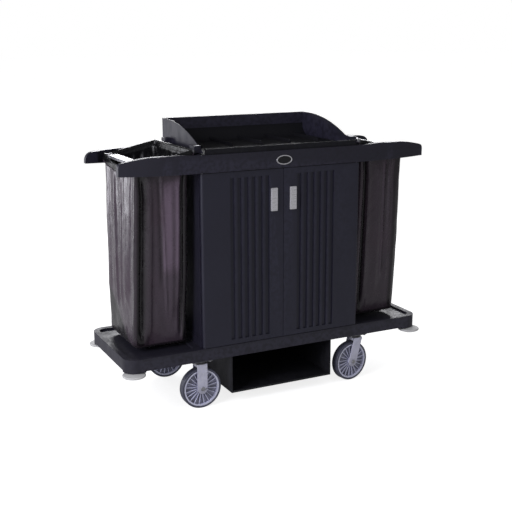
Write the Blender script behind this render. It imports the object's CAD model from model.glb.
# Housekeeping cart: the looks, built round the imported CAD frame.
# Metres throughout, +Z up, -Y is the cart's front, the cart stands on Z = 0.
import math
import random

import bpy
import numpy as np
from mathutils import Matrix, Vector, noise


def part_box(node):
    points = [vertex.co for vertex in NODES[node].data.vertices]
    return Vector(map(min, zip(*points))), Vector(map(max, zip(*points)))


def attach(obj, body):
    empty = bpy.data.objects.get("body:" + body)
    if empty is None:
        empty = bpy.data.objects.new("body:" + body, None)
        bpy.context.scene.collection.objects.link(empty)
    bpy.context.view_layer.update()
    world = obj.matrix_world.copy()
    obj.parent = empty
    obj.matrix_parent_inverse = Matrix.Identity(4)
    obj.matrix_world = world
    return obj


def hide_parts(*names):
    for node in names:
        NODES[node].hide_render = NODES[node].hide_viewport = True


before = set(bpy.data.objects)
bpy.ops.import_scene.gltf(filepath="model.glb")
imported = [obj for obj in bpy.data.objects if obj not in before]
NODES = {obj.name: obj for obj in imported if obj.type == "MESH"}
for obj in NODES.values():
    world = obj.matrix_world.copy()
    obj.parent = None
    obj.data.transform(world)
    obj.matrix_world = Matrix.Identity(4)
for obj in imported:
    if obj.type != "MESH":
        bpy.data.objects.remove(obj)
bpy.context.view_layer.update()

MM = 0.001


# ---------------------------------------------------------------- camera, floor and lights

CAMERA_AT = Vector((-1.9351, -3.8693, 1.6577))
CAMERA_YAW = math.radians(26.47)
CAMERA_PITCH = math.radians(13.56)
CAMERA_ROLL = math.radians(-0.23)
CAMERA_LENS = 65.17


def add_camera():
    """A camera in front and to the left of the cart, turned right by yaw and down by pitch."""
    forward = Vector((
        math.sin(CAMERA_YAW) * math.cos(CAMERA_PITCH),
        math.cos(CAMERA_YAW) * math.cos(CAMERA_PITCH),
        -math.sin(CAMERA_PITCH),
    ))
    level = Vector((math.cos(CAMERA_YAW), -math.sin(CAMERA_YAW), 0))
    upright = level.cross(forward)
    right = level * math.cos(CAMERA_ROLL) + upright * math.sin(CAMERA_ROLL)
    up = upright * math.cos(CAMERA_ROLL) - level * math.sin(CAMERA_ROLL)
    data = bpy.data.cameras.new("camera")
    data.lens = CAMERA_LENS
    data.sensor_width = 36
    data.clip_end = 200
    camera = bpy.data.objects.new("camera", data)
    turned = Matrix((right, up, -forward)).transposed().to_4x4()
    camera.matrix_world = Matrix.Translation(CAMERA_AT) @ turned
    bpy.context.scene.collection.objects.link(camera)
    bpy.context.scene.camera = camera


def add_area(name, at, aim, size, power, colour=(1, 1, 1)):
    """A rectangular softbox at a place, facing another."""
    data = bpy.data.lights.new(name, "AREA")
    data.shape = "RECTANGLE"
    data.size, data.size_y = size
    data.energy = power
    data.color = colour
    light = bpy.data.objects.new(name, data)
    light.location = at
    light.rotation_euler = (Vector(aim) - Vector(at)).to_track_quat("-Z", "Y").to_euler()
    bpy.context.scene.collection.objects.link(light)


WORLD_SEEN = 1.0
WORLD_MATT = 0.38
WORLD_GLOSS = 0.10


def add_world():
    """A studio whose backdrop shows white and lights the cart more softly."""
    world = bpy.data.worlds.new("studio")
    world.use_nodes = True
    nodes, links = world.node_tree.nodes, world.node_tree.links
    ray = nodes.new("ShaderNodeLightPath")
    level = None
    steps = (("Is Glossy Ray", WORLD_MATT, WORLD_GLOSS), ("Is Camera Ray", 0, WORLD_SEEN))
    for output, first, second in steps:
        mix = nodes.new("ShaderNodeMix")
        mix.inputs["A"].default_value = first
        mix.inputs["B"].default_value = second
        links.new(ray.outputs[output], mix.inputs["Factor"])
        if level:
            links.new(level, mix.inputs["A"])
        level = mix.outputs["Result"]
    background = nodes["Background"]
    background.inputs["Color"].default_value = (1, 1, 1, 1)
    links.new(level, background.inputs["Strength"])
    bpy.context.scene.world = world


FLOOR_HALF = 60
FLOOR_GLOW = 0.80


def add_floor():
    """A wide pale floor that shows nearly white under a faint shadow."""
    half = FLOOR_HALF
    corners = [(-half, -half, 0), (half, -half, 0), (half, half, 0), (-half, half, 0)]
    mesh = bpy.data.meshes.new("floor")
    mesh.from_pydata(corners, [], [(0, 1, 2, 3)])
    floor = bpy.data.objects.new("floor", mesh)
    bpy.context.scene.collection.objects.link(floor)
    look = Look("floor_paper", (0.55, 0.55, 0.55), 0.9)
    look.set("Specular IOR Level", 0.1)
    look.set("Emission Color", (1, 1, 1, 1))
    seen = look.tree.nodes.new("ShaderNodeLightPath").outputs["Is Camera Ray"]
    glow = look.ramp(seen, 0, 1, 0, FLOOR_GLOW)
    look.tree.links.new(glow, look.shader.inputs["Emission Strength"])
    mesh.materials.append(look.material)


def add_studio():
    add_world()
    add_floor()
    add_area("key_left", (-3.8, -1.5, 2.2), (-0.5, 0, 0.9), (1.6, 2.2), 96, (0.93, 0.93, 1.0))
    add_area("rim_left", (-2.7, 3.4, 1.1), (-0.6, 0, 0.8), (1.2, 2.0), 26, (0.94, 0.94, 1.0))
    add_area("top_back", (1.7, 3.6, 2.15), (0.1, 0, 1.1), (3.4, 0.8), 85, (0.97, 0.97, 1.0))
    add_area("front_fill", (-0.6, -4.6, 2.0), (0.0, 0, 0.7), (1.6, 1.6), 10, (0.90, 0.90, 1.0))
    bpy.context.scene.view_settings.view_transform = "Standard"


# ---------------------------------------------------------------- materials

class Look:
    """A principled material, and short calls that add nodes to it."""

    def __init__(self, name, colour, rough, metal=0.0):
        self.material = bpy.data.materials.new(name)
        self.material.use_nodes = True
        self.tree = self.material.node_tree
        self.shader = self.tree.nodes["Principled BSDF"]
        self.colour = colour
        self.set("Base Color", (*colour, 1))
        self.set("Roughness", rough)
        self.set("Metallic", metal)
        self.place = self.tree.nodes.new("ShaderNodeTexCoord").outputs["Object"]
        self.normal = None

    def set(self, socket, value):
        self.shader.inputs[socket].default_value = value

    def add(self, kind, links=(), **values):
        """A node of that kind; links are (input name, output) pairs, values set inputs by name."""
        node = self.tree.nodes.new(kind)
        for name, value in values.items():
            node.inputs[name.replace("_", " ")].default_value = value
        for name, output in links:
            self.tree.links.new(output, node.inputs[name])
        return node

    def stretched(self, scale, turn=(0, 0, 0)):
        """The object's coordinates, scaled by a number for each axis."""
        node = self.add("ShaderNodeMapping", [("Vector", self.place)], Rotation=turn, Scale=scale)
        return node.outputs["Vector"]

    def noise(self, scale, detail=3.0, rough=0.5, place=None, distortion=0.0):
        node = self.add("ShaderNodeTexNoise", [("Vector", place or self.place)],
                        Scale=scale, Detail=detail, Roughness=rough, Distortion=distortion)
        return node.outputs["Fac"]

    def cells(self, scale, place=None):
        node = self.add("ShaderNodeTexVoronoi", [("Vector", place or self.place)], Scale=scale)
        return node.outputs["Distance"]

    def ramp(self, value, low, high, out_low=0.0, out_high=1.0):
        """value from low to high, smoothly turned into out_low to out_high."""
        node = self.tree.nodes.new("ShaderNodeMapRange")
        node.interpolation_type = "SMOOTHSTEP"
        limits = {"From Min": low, "From Max": high, "To Min": out_low, "To Max": out_high}
        for name, number in limits.items():
            node.inputs[name].default_value = number
        self.tree.links.new(value, node.inputs["Value"])
        return node.outputs["Result"]

    def times(self, a, b):
        node = self.tree.nodes.new("ShaderNodeMath")
        node.operation = "MULTIPLY"
        self.tree.links.new(a, node.inputs[0])
        self.tree.links.new(b, node.inputs[1])
        return node.outputs["Value"]

    def tint(self, amount, colour):
        """Mixes colour over the base colour by amount, an output from 0 to 1."""
        socket = self.shader.inputs["Base Color"]
        node = self.tree.nodes.new("ShaderNodeMix")
        node.data_type = "RGBA"
        low, high = node.inputs[6], node.inputs[7]
        if socket.is_linked:
            self.tree.links.new(socket.links[0].from_socket, low)
        else:
            low.default_value = socket.default_value
        high.default_value = (*colour, 1)
        self.tree.links.new(amount, node.inputs["Factor"])
        self.tree.links.new(node.outputs[2], socket)

    def roughness(self, value):
        self.tree.links.new(value, self.shader.inputs["Roughness"])

    def bump(self, height, depth, strength=1.0):
        """Raises the surface by up to depth metres; a later bump lies on an earlier one."""
        node = self.add("ShaderNodeBump", [("Height", height)], Strength=strength, Distance=depth)
        if self.normal:
            self.tree.links.new(self.normal, node.inputs["Normal"])
        self.normal = node.outputs["Normal"]
        self.tree.links.new(self.normal, self.shader.inputs["Normal"])

    def along(self, axis):
        """The object's coordinate along x, y or z."""
        node = self.add("ShaderNodeSeparateXYZ", [("Vector", self.place)])
        return node.outputs[axis.upper()]

    def edges(self, low=0.51, high=0.58):
        """0 to 1 where the surface is convex, as at a worn edge; high below low finds hollows."""
        return self.ramp(self.tree.nodes.new("ShaderNodeNewGeometry").outputs["Pointiness"], low, high)


def shade(colour, factor):
    return tuple(min(1.0, c * factor) for c in colour)


def moulded(name, colour, rough, grain=850, grain_depth=0.00012, wear=0.35):
    """Moulded plastic: spark-eroded grain, faint flow marks, worn edges and a little dust."""
    look = Look(name, colour, rough)
    cloud = look.noise(6, 4, 0.6)
    look.tint(look.ramp(cloud, 0.35, 0.7, 0, 0.3), shade(colour, 1.3))
    look.tint(look.ramp(look.noise(grain, 2, 0.6), 0.52, 0.72, 0, 0.35), shade(colour, 1.6))
    worn = look.times(look.edges(), look.ramp(look.noise(60, 3), 0.35, 0.6, 0, wear))
    look.tint(worn, shade(colour, 3.2))
    smears = look.noise(14, 5, 0.65, look.stretched((1, 1, 0.35)), 0.6)
    look.roughness(look.ramp(smears, 0.3, 0.7, rough - 0.07, rough + 0.09))
    look.bump(look.noise(9, 2, 0.4), 0.0016, 0.35)
    look.bump(look.noise(grain, 3, 0.55), grain_depth, 0.8)
    return look


def matt_inside(name, colour):
    """The same plastic where the mould leaves it rough and dull."""
    look = moulded(name, colour, 0.62, 600, 0.0002, 0.15)
    look.set("Specular IOR Level", 0.22)
    return look


def skirt_plastic(name, colour, rough):
    """Moulded plastic that gets kicked: scuffs that run along the cart, more of them low down."""
    look = moulded(name, colour, rough, 700, 0.00018)
    marks = look.noise(38, 6, 0.7, look.stretched((0.35, 0.6, 2.4)), 1.2)
    low_down = look.ramp(look.along("z"), 0.30, 0.22, 0.15, 1)
    look.tint(look.times(look.ramp(marks, 0.61, 0.68, 0, 0.5), low_down), shade(colour, 3.0))
    return look


def vinyl_look(name, colour):
    """Calendered vinyl: oily sheen, soft crumple, darker where it is folded in."""
    look = Look(name, colour, 0.30)
    look.set("Specular IOR Level", 0.50)
    look.set("Coat Weight", 0.16)
    look.set("Coat Roughness", 0.14)
    look.set("Sheen Weight", 0.04)
    tone = look.add("ShaderNodeAttribute")
    tone.attribute_name = "tone"
    tone = tone.outputs["Fac"]
    warm = (colour[0] * 1.15, colour[1] * 0.9, colour[2])
    look.tint(look.ramp(look.noise(5, 2, 0.5), 0.4, 0.7, 0, 0.4), warm)
    look.tint(look.ramp(tone, 1.0, 2.0, 0, 1), shade(colour, 2.4))
    look.tint(look.ramp(tone, 1.0, 0.1, 0, 0.95), (0.003, 0.002, 0.003))
    stress = look.times(look.edges(0.54, 0.68), look.ramp(look.noise(30, 3), 0.45, 0.6, 0, 0.3))
    look.tint(stress, shade(colour, 3.0))
    look.roughness(look.ramp(look.noise(16, 3, 0.5), 0.35, 0.7, 0.22, 0.38))
    slanted = look.stretched((1, 1, 0.5), (0.3, 0.3, 0))
    look.bump(look.noise(15, 1, 0.3, slanted, 0.4), 0.0030, 0.45)
    look.bump(look.noise(90, 2, 0.4), 0.00012, 0.5)
    look.bump(look.cells(1400), 0.00005, 0.4)
    return look


def lining_look(name, colour):
    """The vinyl's inner face, which also shows where the hem is folded over: black and wet-looking."""
    look = Look(name, colour, 0.20)
    look.set("Specular IOR Level", 0.5)
    look.set("Coat Weight", 0.3)
    look.set("Coat Roughness", 0.08)
    look.tint(look.ramp(look.noise(20, 4), 0.4, 0.7, 0, 0.5), shade(colour, 1.8))
    look.roughness(look.ramp(look.noise(30, 3), 0.3, 0.7, 0.16, 0.30))
    look.bump(look.noise(22, 1, 0.3, None, 0.4), 0.0024, 0.5)
    look.bump(look.noise(150, 2, 0.4), 0.0001, 0.5)
    return look


def steel_look(name, colour, rough):
    """Zinc-plated steel: fine drawing lines, spangle and a little tarnish."""
    look = Look(name, colour, rough, 1.0)
    look.tint(look.ramp(look.cells(90), 0.2, 0.7, 0, 0.5), shade(colour, 0.72))
    look.tint(look.ramp(look.noise(30, 5, 0.7), 0.55, 0.75, 0, 0.4), (0.22, 0.20, 0.18))
    look.roughness(look.ramp(look.noise(70, 4), 0.3, 0.7, rough - 0.08, rough + 0.14))
    look.bump(look.noise(420, 2, 0.5, look.stretched((0.15, 1, 1))), 0.00006, 0.6)
    return look


def coated_look(name, colour):
    """Powder-coated rod: glossy black with orange peel and pale rubbed edges."""
    look = Look(name, colour, 0.24)
    look.set("Coat Weight", 0.4)
    look.set("Coat Roughness", 0.12)
    rubbed = look.times(look.edges(0.505, 0.56), look.ramp(look.noise(50, 3), 0.3, 0.6, 0.3, 0.9))
    look.tint(rubbed, (0.42, 0.42, 0.45))
    look.roughness(look.ramp(look.noise(60, 4), 0.3, 0.7, 0.18, 0.34))
    look.bump(look.noise(380, 2, 0.4), 0.00009, 0.5)
    return look


def fork_look(name, colour):
    """Lacquered sheet steel: soft satin, orange peel, grime towards the axle and rubbed edges."""
    look = Look(name, colour, 0.38, 0.25)
    look.tint(look.ramp(look.noise(26, 5, 0.65), 0.42, 0.7, 0, 0.35), shade(colour, 0.66))
    look.tint(look.ramp(look.along("z"), 0.13, 0.06, 0, 0.35), (0.20, 0.20, 0.22))
    rubbed = look.times(look.edges(), look.ramp(look.noise(90, 3), 0.4, 0.6, 0.1, 0.7))
    look.tint(rubbed, (0.82, 0.82, 0.86))
    look.roughness(look.ramp(look.noise(80, 4), 0.3, 0.7, 0.28, 0.48))
    look.bump(look.noise(300, 3, 0.5), 0.0001, 0.6)
    return look


def hub_look(name, colour):
    """Moulded wheel centre: milky blue-grey, darker in the pockets, dirt in the corners."""
    look = Look(name, colour, 0.26)
    look.set("Coat Weight", 0.25)
    look.set("Subsurface Weight", 0.04)
    look.set("Subsurface Radius", (0.004, 0.004, 0.006))
    pockets = look.times(look.edges(0.5, 0.44), look.ramp(look.noise(40, 4), 0.3, 0.6, 0.8, 1.0))
    look.tint(pockets, shade(colour, 0.05))
    worn = look.times(look.edges(), look.ramp(look.noise(70, 3), 0.35, 0.6, 0.2, 0.9))
    look.tint(worn, shade(colour, 2.4))
    look.roughness(look.ramp(look.noise(50, 4), 0.3, 0.7, 0.20, 0.36))
    look.bump(look.noise(700, 2, 0.5), 0.00008, 0.6)
    return look


def rubber_look(name, colour, rough, dirt=0.45):
    """Non-marking rubber: matt bloom, ground-in dirt in patches and a fine grain."""
    look = Look(name, colour, rough)
    look.tint(look.ramp(look.noise(18, 6, 0.7), 0.45, 0.7, 0, dirt), shade(colour, 0.5))
    look.tint(look.ramp(look.noise(120, 4, 0.6), 0.55, 0.7, 0, 0.3), shade(colour, 0.7))
    worn = look.times(look.edges(), look.ramp(look.noise(60, 3), 0.4, 0.6, 0, 0.4))
    look.tint(worn, shade(colour, 1.4))
    look.roughness(look.ramp(look.noise(30, 4), 0.3, 0.7, rough - 0.08, rough + 0.1))
    look.bump(look.noise(800, 3, 0.5), 0.00012, 0.7)
    return look


def brushed_look(name, colour):
    """Brushed aluminium: lines across the handle and a few scratches."""
    look = Look(name, colour, 0.36, 0.45)
    lines = look.noise(500, 3, 0.6, look.stretched((0.05, 1, 1)))
    look.tint(look.ramp(lines, 0.4, 0.65, 0, 0.4), shade(colour, 0.75))
    scratches = look.noise(60, 5, 0.7, look.stretched((0.3, 1, 2)))
    look.tint(look.ramp(scratches, 0.62, 0.68, 0, 0.5), shade(colour, 0.6))
    look.roughness(look.ramp(lines, 0.3, 0.7, 0.22, 0.40))
    look.bump(lines, 0.00005, 0.8)
    return look


def make_looks():
    """One material for each kind of surface."""
    black = (0.015, 0.014, 0.025)
    return {
        "body": moulded("body_plastic", black, 0.40),
        "skirt": skirt_plastic("skirt_plastic", (0.017, 0.016, 0.026), 0.46),
        "door": moulded("door_plastic", (0.018, 0.0175, 0.032), 0.41, 1100, 0.00008, 0.2),
        "inside": matt_inside("inside_plastic", (0.009, 0.009, 0.012)),
        "bin": moulded("bin_plastic", (0.008, 0.008, 0.011), 0.55),
        "badge": moulded("badge_plastic", (0.008, 0.008, 0.010), 0.30, 1200, 0.00004, 0.1),
        "vinyl": vinyl_look("bag_vinyl", (0.052, 0.037, 0.053)),
        "lining": lining_look("bag_lining", (0.005, 0.005, 0.006)),
        "steel": steel_look("plated_steel", (0.60, 0.60, 0.63), 0.30),
        "coated": coated_look("coated_rod", (0.014, 0.014, 0.017)),
        "fork": fork_look("fork_lacquer", (0.70, 0.70, 0.86)),
        "hub": hub_look("hub_plastic", (0.66, 0.67, 0.86)),
        "tyre": rubber_look("tyre_rubber", (0.085, 0.088, 0.125), 0.36),
        "bumper": rubber_look("bumper_rubber", (0.66, 0.66, 0.66), 0.50, 0.2),
        "silver": brushed_look("brushed_metal", (0.74, 0.73, 0.76)),
    }


# ---------------------------------------------------------------- CAD nodes

# node: material and bevel width in metres
CAD_LOOKS = {
    "base_deck": ("skirt", 3.0 * MM),
    "under_bin": ("bin", 1.2 * MM),
    "bin_screws": ("steel", 0.5 * MM),
    "cabinet_side_left": ("body", 1.0 * MM),
    "cabinet_side_right": ("body", 1.0 * MM),
    "cabinet_back": ("body", 2.0 * MM),
    "shelf_lower": ("inside", 1.5 * MM),
    "shelf_upper": ("inside", 1.5 * MM),
    "shelf_pegs": ("steel", 0.6 * MM),
    "corner_brackets": ("steel", 0.4 * MM),
    "top_tray": ("inside", 0.8 * MM),
    "hood": ("body", 1.2 * MM),
    "hood_screws": ("steel", 0.5 * MM),
    "rail_front": ("body", 4.5 * MM),
    "rail_rear": ("body", 4.5 * MM),
    "rail_screws": ("steel", 0.6 * MM),
    "emblem_plate": ("badge", 0.4 * MM),
    "emblem_rim": ("silver", 0.8 * MM),
    "bag_frame_left": ("coated", 1.0 * MM),
    "bag_frame_right": ("coated", 1.0 * MM),
    "frame_hooks_left": ("body", 1.2 * MM),
    "frame_hooks_right": ("body", 1.2 * MM),
    "bag_clips": ("steel", 0.5 * MM),
    "door_hinge_pins": ("steel", 0.4 * MM),
    "door_catches": ("inside", 0.6 * MM),
    "door_panel_left": ("door", 2.2 * MM),
    "door_panel_right": ("door", 2.2 * MM),
    "door_handle_left": ("silver", 0.8 * MM),
    "door_handle_right": ("silver", 0.8 * MM),
    "door_strike_left": ("steel", 0.3 * MM),
    "door_strike_right": ("steel", 0.3 * MM),
    "rigid_fork_front": ("fork", 1.6 * MM),
    "rigid_fork_rear": ("fork", 1.6 * MM),
    "rigid_axles": ("steel", 0.8 * MM),
    "rigid_plates": ("coated", 1.0 * MM),
    "swivel_plates": ("coated", 1.0 * MM),
    "kingpins": ("steel", 0.8 * MM),
    "caster_bolts": ("steel", 0.6 * MM),
    "bumper_bolts": ("steel", 0.6 * MM),
    "swivel_fork_front": ("fork", 1.6 * MM),
    "swivel_fork_rear": ("fork", 1.6 * MM),
    "swivel_axle_front": ("steel", 0.8 * MM),
    "swivel_axle_rear": ("steel", 0.8 * MM),
}
WHEELS = ("left_front", "left_rear", "right_front", "right_rear")
for wheel in WHEELS:
    CAD_LOOKS["hub_" + wheel] = ("hub", 0.9 * MM)
    CAD_LOOKS["tyre_" + wheel] = ("tyre", 1.0 * MM)
    CAD_LOOKS["bush_" + wheel] = ("steel", 0.3 * MM)
    CAD_LOOKS["bumper_" + wheel] = ("bumper", 1.5 * MM)


# grooved nodes keep all their facets
GROOVED = ("door_panel_left", "door_panel_right")


def soften(obj, bevel):
    """Joins the CAD facets, rounds the edges and shades the faces smoothly."""
    mesh = obj.data
    if mesh.has_custom_normals:
        mesh.attributes.remove(mesh.attributes["custom_normal"])
    mesh.polygons.foreach_set("use_smooth", [True] * len(mesh.polygons))
    weld = obj.modifiers.new("weld", "WELD")
    weld.merge_threshold = 0.01 * MM
    if obj.name not in GROOVED:
        flat = obj.modifiers.new("flat", "DECIMATE")
        flat.decimate_type = "DISSOLVE"
        flat.angle_limit = math.radians(0.6)
    edge = obj.modifiers.new("edge", "BEVEL")
    edge.width = bevel
    edge.segments = 3
    edge.limit_method = "ANGLE"
    edge.angle_limit = math.radians(38)
    edge.miter_outer = "MITER_ARC"
    even = obj.modifiers.new("even", "WEIGHTED_NORMAL")
    even.keep_sharp = False
    even.weight = 60


def dress_cad(looks):
    """Gives every CAD node its material and soft edges."""
    for name, (look, bevel) in CAD_LOOKS.items():
        node = NODES[name]
        node.data.materials.clear()
        node.data.materials.append(looks[look].material)
        soften(node, bevel)


# ---------------------------------------------------------------- bags

# the frame: its rods, welds, outer bar and hooks
ROD_R = 7 * MM
ROD_GAP = 3 * MM
WELD_R = 1.5 * MM
BAR_HALF = 6 * MM
BAR_W = 24 * MM
HOOK_HALF = 25 * MM
SHEET_T = 0.9 * MM
SEAM_GAP = 0.1 * MM
# how far the middle of the vinyl lies outside the rod that it is folded over
ROD_FOLD = ROD_R + 1.3 * MM
EDGE_FOLD = 3.4 * MM
BEAD_R = 2.1 * MM
FLAP = 29 * MM
INNER_FLAP = 17 * MM
DROOP = 31 * MM
BOTTOM_ROUND = 20 * MM
FOOT_BACK = 20 * MM
FOOT_SIDE = 32 * MM
MOUTH_CORNER = 14 * MM
# how far the walls lean and swell on their way down
INNER_LEAN = 4 * MM
OUTER_LEAN = 12 * MM
END_BELLY = 2 * MM
SIDE_BELLY = 3 * MM
UNDER_SAG = 5 * MM
WALL_ROWS = 92
BOTTOM_RINGS = 9
CORNER_POINTS = 8
SIDE_POINTS = {"inner": 46, "front": 34, "outer": 50, "rear": 34}
SIDE_ANGLE = {"inner": 180, "front": 270, "outer": 360, "rear": 450}


class Round:
    """The points round a bag: share of the way to the corners, outward normal, side and place on it."""

    def __init__(self):
        corner = [(-1, 1), (-1, -1), (1, -1), (1, 1), (-1, 1)]
        share, angle, side, place = [], [], [], []
        for i, (name, count) in enumerate(SIDE_POINTS.items()):
            for t in np.linspace(0, 1, count):
                share.append(np.array(corner[i]) * (1 - t) + np.array(corner[i + 1]) * t)
                angle.append(SIDE_ANGLE[name])
                side.append(name)
                place.append(t)
            for k in range(1, CORNER_POINTS):
                share.append(np.array(corner[i + 1], float))
                angle.append(SIDE_ANGLE[name] + 90 * k / CORNER_POINTS)
                side.append("corner")
                place.append(i + k / CORNER_POINTS)
        turn = np.radians(angle)
        self.share = np.array(share)
        self.normal = np.stack([np.cos(turn), np.sin(turn)], 1)
        self.side = np.array(side)
        self.place = np.array(place)
        self.count = len(share)

    def ring(self, x0, x1, half_y, corner):
        """(x, y) round a rounded rectangle."""
        middle = np.array([(x0 + x1) / 2, 0])
        half = np.array([(x1 - x0) / 2 - corner, half_y - corner])
        return middle + self.share * half + self.normal * corner

    def at(self, side, t):
        """The index of the point nearest to place t on that side."""
        here = np.where(self.side == side)[0]
        return here[np.argmin(np.abs(self.place[here] - t))]


def eased(values, passes):
    """Values round a loop, smoothed over their neighbours."""
    for _ in range(passes):
        values = (np.roll(values, 1) + 2 * values + np.roll(values, -1)) / 4
    return values


def smooth(x):
    x = np.clip(x, 0, 1)
    return x * x * (3 - 2 * x)


class Bag:
    """Sizes of one bag and its frame, as distances from the middle of the cart."""

    def __init__(self, side):
        low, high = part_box("bag_" + side)
        frame_low, frame_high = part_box("bag_frame_" + side)
        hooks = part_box("frame_hooks_" + side)
        self.sign = -1 if side == "left" else 1
        self.x0 = min(abs(low.x), abs(high.x))
        self.x1 = max(abs(low.x), abs(high.x))
        self.half_y = high.y
        self.bottom = low.z
        self.foot_y = self.half_y - FOOT_SIDE
        self.rod_x = min(abs(frame_low.x), abs(frame_high.x)) + ROD_R + WELD_R
        self.rod_y = self.half_y + ROD_R + ROD_GAP
        self.rod_z = frame_high.z - ROD_R - WELD_R
        self.bar_x = self.x1 - BAR_W
        self.bar_z = frame_low.z + BAR_HALF
        self.edge_x = self.x1 + EDGE_FOLD + SEAM_GAP
        self.hook_y = (hooks[0].y + HOOK_HALF, hooks[1].y - HOOK_HALF)


def hem_line(bag, plan):
    """The line that the hem is folded over: its plan, height, fold radius and flap length."""
    line = plan.ring(bag.rod_x, bag.edge_x, bag.rod_y, MOUTH_CORNER)
    along = np.clip((line[:, 0] - bag.rod_x) / (bag.bar_x - bag.rod_x), 0, 1)
    height = bag.rod_z + (bag.bar_z - bag.rod_z) * along
    outer = smooth((line[:, 0] - bag.bar_x) / (bag.edge_x - bag.bar_x - 2 * MM))
    height += outer * 8 * MM
    sag = np.clip(1 - np.abs(line[:, 1] / (bag.half_y - MOUTH_CORNER)) ** 2.4, 0, 1)
    height -= outer * DROOP * sag
    fold = ROD_FOLD + (EDGE_FOLD - ROD_FOLD) * outer
    inner = smooth((bag.rod_x + 14 * MM - line[:, 0]) / (10 * MM))
    flap = FLAP + (INNER_FLAP - FLAP) * inner
    for y in bag.hook_y:
        flap *= 1 - 0.93 * inner * smooth((HOOK_HALF + 12 * MM - np.abs(line[:, 1] - y)) / (10 * MM))
    wave = np.array([noise.noise(Vector((p[0] * 16, p[1] * 16, bag.sign * 3.7))) for p in line])
    flap *= 1 + 0.22 * wave
    return line, eased(height, 2), eased(fold, 3), eased(flap, 1)


def hem_rows(bag, plan, line, height, fold, flap):
    """Rows from the bead at the flap's end, up the outside, over the fold and down inside."""
    def row(out, up):
        spot = line + plan.normal * np.broadcast_to(out, plan.count)[:, None]
        return np.column_stack([spot, height + up])

    rows = []
    for k in range(8):
        turn = math.radians(150 - 42 * k)
        rows.append(row(fold + BEAD_R * (0.6 + math.cos(turn)), -flap + BEAD_R * (math.sin(turn) - 1)))
    for t in (0.2, 0.45, 0.72, 1.0):
        rows.append(row(fold + 0.6 * MM * math.sin(3 * t), -flap * (1 - t)))
    for k in range(1, 9):
        turn = math.pi * k / 8
        rows.append(row(fold * math.cos(turn), fold * math.sin(turn)))
    rows.append(row(-fold, -fold * 0.8 - 2 * MM))
    return rows


def wall_rings(bag, plan, top):
    """Rows of the wall from the hem to the bottom's rounding, and how far down each row is, 0 to 1."""
    rows, shares = [], []
    drop = top - (bag.bottom + BOTTOM_ROUND)
    for k in range(1, WALL_ROWS + 1):
        f = k / WALL_ROWS
        belly = math.sin(math.pi * f ** 1.5)
        z = top - drop * f
        ring = plan.ring(
            bag.x0 + INNER_LEAN * f - END_BELLY * belly,
            bag.x1 + OUTER_LEAN * f ** 0.7 + END_BELLY * belly,
            bag.half_y + (bag.foot_y - bag.half_y) * f ** 1.2 + SIDE_BELLY * belly,
            MOUTH_CORNER * (1 + min(1, 6 * f)),
        )
        ring[:, 1] += FOOT_BACK * f ** 1.3
        rows.append(np.column_stack([ring, z]))
        shares.append(f)
    return rows, shares


def under_rings(bag, plan, last):
    """The rounding at the bottom and the rings of the bottom itself."""
    rows = []
    for k in range(1, 6):
        turn = math.radians(18 * k)
        ring = last[:, :2] - plan.normal * BOTTOM_ROUND * (1 - math.cos(turn))
        rows.append(np.column_stack([ring, last[:, 2] - BOTTOM_ROUND * math.sin(turn)]))
    edge = rows[-1]
    middle = edge.mean(0)
    for k in range(1, BOTTOM_RINGS):
        share = 1 - k / BOTTOM_RINGS
        ring = middle + (edge - middle) * share
        ring[:, 2] -= UNDER_SAG * (1 - share ** 2)
        rows.append(ring)
    return rows, middle


# a crease in a wall: side, place on it from 0 to 1, depth and half width in mm, how many mm it drifts
# towards the next side on its way down, and where down the wall it starts and ends
FRONT_LEFT = (
    ("front", 0.97, -24, 14, 3, 0.0, 1.0),
    ("front", 0.80, 5, 8, 0, 0.0, 0.95),
    ("front", 0.55, 7, 3.4, -38, 0.0, 0.86),
    ("front", 0.62, -6, 9, -34, 0.0, 0.7),
    ("front", 0.30, 6, 16, -10, 0.15, 0.9),
    ("front", 0.10, 5, 7, 6, 0.0, 0.8),
    ("front", 0.02, -14, 8, 0, 0.0, 1.0),
)
FRONT_RIGHT = (
    ("front", 0.06, -20, 10, 2, 0.0, 1.0),
    ("front", 0.15, 6, 4, 0, 0.05, 0.9),
    ("front", 0.45, 5, 14, 8, 0.1, 0.9),
    ("front", 0.60, 7, 4, 6, 0.0, 0.80),
    ("front", 0.70, -8, 8, 4, 0.0, 0.80),
    ("front", 0.80, 7, 4, 4, 0.0, 0.84),
    ("front", 0.95, 5, 9, 8, 0.2, 1.0),
)


# how much lighter or darker a strip of the wall is: side, place, tone, half width in mm, drift in mm,
# start and end
TONES_LEFT = (
    ("front", 0.99, 0.10, 15, 3, 0.0, 1.1),
    ("front", 1.00, 0.50, 44, 3, 0.0, 1.1),
    ("front", 0.27, 2.0, 42, -6, 0.12, 0.64),
    ("front", 0.24, 1.2, 40, -10, 0.6, 1.0),
    ("front", 0.00, 0.20, 12, -16, 0.0, 1.1),
)
TONES_RIGHT = (
    ("front", 0.50, 0.74, 400, 0, -0.2, 1.4),
    ("front", 0.06, 0.15, 9, 2, 0.0, 1.1),
    ("front", 0.65, 1.5, 15, 5, 0.0, 0.82),
    ("front", 0.97, 0.45, 16, 6, 0.0, 1.1),
)
DARK_FOOT = 0.30
UNDER_TONE = 0.4


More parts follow.
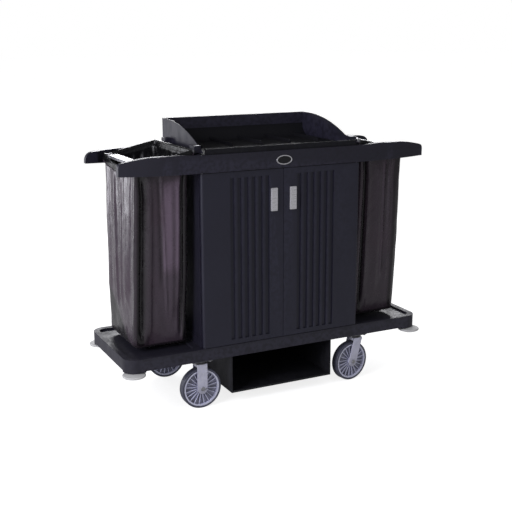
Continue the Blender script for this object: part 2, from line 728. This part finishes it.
def wall_tone(plan, arc, f, tones):
    """The wall's tone at each point round the bag, at f of the way down: 0 is black and 1 plain."""
    total = arc[-1] + (arc[-1] - arc[-2])
    tone = np.ones(plan.count)
    for side, place, level, width, drift, start, end in tones:
        apart = np.abs(arc - arc[plan.at(side, place)] - drift * MM * f)
        apart = np.minimum(apart, total - apart) / (width * MM)
        inside = smooth((1.2 - apart) / 0.4) * smooth((f - start) / 0.06 + 0.5) * smooth((end - f) / 0.10)
        tone *= 1 + (level - 1) * inside
    outer = plan.side == "outer"
    tone[outer] *= 1 - 0.8 * smooth((f - 1.02 + DARK_FOOT * plan.place[outer]) / 0.06)
    return tone


# side, number of creases and depth in mm where their places don't matter
HIDDEN_CREASES = (("outer", 5, 6), ("rear", 4, 9), ("inner", 5, 5))


def random_creases(rng, side, count, depth):
    """Creases spread along a side, each a little different."""
    made = []
    for i in range(count):
        place = (i + rng.uniform(0.25, 0.75)) / count
        deep = depth * rng.uniform(0.6, 1.3) * rng.choice((-1, -1, 1))
        width, drift = rng.uniform(9, 20), rng.uniform(-22, 22)
        made.append((side, place, deep, width, drift, 0.0, rng.uniform(0.7, 1.0)))
    return made


def crease_depth(plan, arc, f, creases):
    """Outward move of each point round the bag at f of the way down, in metres."""
    total = arc[-1] + (arc[-1] - arc[-2])
    out = np.zeros(plan.count)
    for side, place, depth, width, drift, start, end in creases:
        centre = arc[plan.at(side, place)] + drift * MM * f
        apart = np.abs(arc - centre)
        apart = np.minimum(apart, total - apart) / (width * MM)
        fade = smooth((f - start) / 0.10 + 0.35) * smooth((end - f) / 0.12 + 0.2)
        out += depth * MM * fade * (np.exp(-apart ** 1.5) - 0.18 * np.exp(-(apart - 2.3) ** 2))
    return out


def crumple(spot, seed):
    """Irregular buckles, long and narrow down the wall, in metres."""
    slant = spot[2] * 0.35
    wide = Vector(((spot[0] + slant) * 9, (spot[1] + slant) * 9, spot[2] * 2.4 + seed))
    fine = Vector(((spot[0] - slant) * 24, (spot[1] - slant) * 24, spot[2] * 8 + seed))
    buckle = noise.noise(wide)
    ripple = 1 - 2 * abs(noise.noise(fine))
    return (5.0 * buckle + 1.1 * (ripple - 0.7)) * MM


def fold_wall(bag, plan, rows, shares, creases, tones, seed):
    """Moves the wall's points in and out by creases and buckles, and returns each row's tone."""
    middle = rows[len(rows) // 2]
    steps = np.linalg.norm(np.diff(middle[:, :2], axis=0), axis=1)
    arc = np.concatenate([[0], np.cumsum(steps)])
    made = []
    for row, f in zip(rows, shares):
        held = smooth(f / 0.10) * (1 - 0.55 * smooth((f - 0.93) / 0.07))
        out = crease_depth(plan, arc, f, creases)
        out += np.array([crumple(spot, seed) for spot in row])
        row[:, :2] += plan.normal * (out * held)[:, None]
        made.append(wall_tone(plan, arc, f, tones) * np.exp(np.minimum(out + 4 * MM, 0) / (9 * MM)))
    return made


def loop_faces(rows, count):
    """Quads between neighbouring rings, and triangles from the last ring to the point after it."""
    faces = []
    for r in range(rows - 1):
        for i in range(count):
            j = (i + 1) % count
            a, b = r * count, (r + 1) * count
            faces.append((a + i, a + j, b + j, b + i))
    last, tip = (rows - 1) * count, rows * count
    faces += [(last + i, last + (i + 1) % count, tip) for i in range(count)]
    return faces


def add_tone(mesh, rows, walls, count):
    """Stores the walls' tones on the mesh; the hem is plain and the bottom darker."""
    level = np.ones(len(mesh.vertices))
    first = rows * count
    wall = np.concatenate(walls)
    level[first:first + len(wall)] = wall
    level[first + len(wall):] = UNDER_TONE
    tone = mesh.attributes.new("tone", "FLOAT", "POINT")
    tone.data.foreach_set("value", level)


def thicken(piece):
    """Gives the sheet its thickness, with the lining on its inner face, and smooths it."""
    thick = piece.modifiers.new("thickness", "SOLIDIFY")
    thick.thickness = SHEET_T
    thick.offset = 0
    thick.material_offset = 1
    thick.material_offset_rim = 1
    fine = piece.modifiers.new("fine", "SUBSURF")
    fine.levels = fine.render_levels = 1


def make_bag(side, creases, tones, looks, seed):
    """An open vinyl sack whose hem is folded over the frame's rods."""
    bag, plan = Bag(side), Round()
    rng = random.Random(seed)
    creases = list(creases)
    for name, count, depth in HIDDEN_CREASES:
        creases += random_creases(rng, name, count, depth)
    line, height, fold, flap = hem_line(bag, plan)
    rows = hem_rows(bag, plan, line, height, fold, flap)
    walls, shares = wall_rings(bag, plan, rows[-1][:, 2])
    hem = len(rows)
    made = fold_wall(bag, plan, walls, shares, creases, tones, seed)
    under, middle = under_rings(bag, plan, walls[-1])
    rows += walls + under
    points = np.concatenate(rows + [[middle - [0, 0, UNDER_SAG + 1 * MM]]])
    points[:, 0] *= bag.sign
    faces = loop_faces(len(rows), plan.count)
    mesh = bpy.data.meshes.new("bag_sheet_" + side)
    if bag.sign > 0:
        faces = [face[::-1] for face in faces]
    mesh.from_pydata(points.tolist(), [], faces)
    add_tone(mesh, hem, made, plan.count)
    mesh.polygons.foreach_set("use_smooth", [True] * len(mesh.polygons))
    for name in ("vinyl", "lining"):
        mesh.materials.append(looks[name].material)
    piece = bpy.data.objects.new("bag_sheet_" + side, mesh)
    bpy.context.scene.collection.objects.link(piece)
    thicken(piece)
    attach(piece, "cart")
    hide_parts("bag_" + side)
    return piece


# ---------------------------------------------------------------- making it

add_camera()
add_studio()
LOOKS = make_looks()
dress_cad(LOOKS)
make_bag("left", FRONT_LEFT, TONES_LEFT, LOOKS, 11)
make_bag("right", FRONT_RIGHT, TONES_RIGHT, LOOKS, 23)
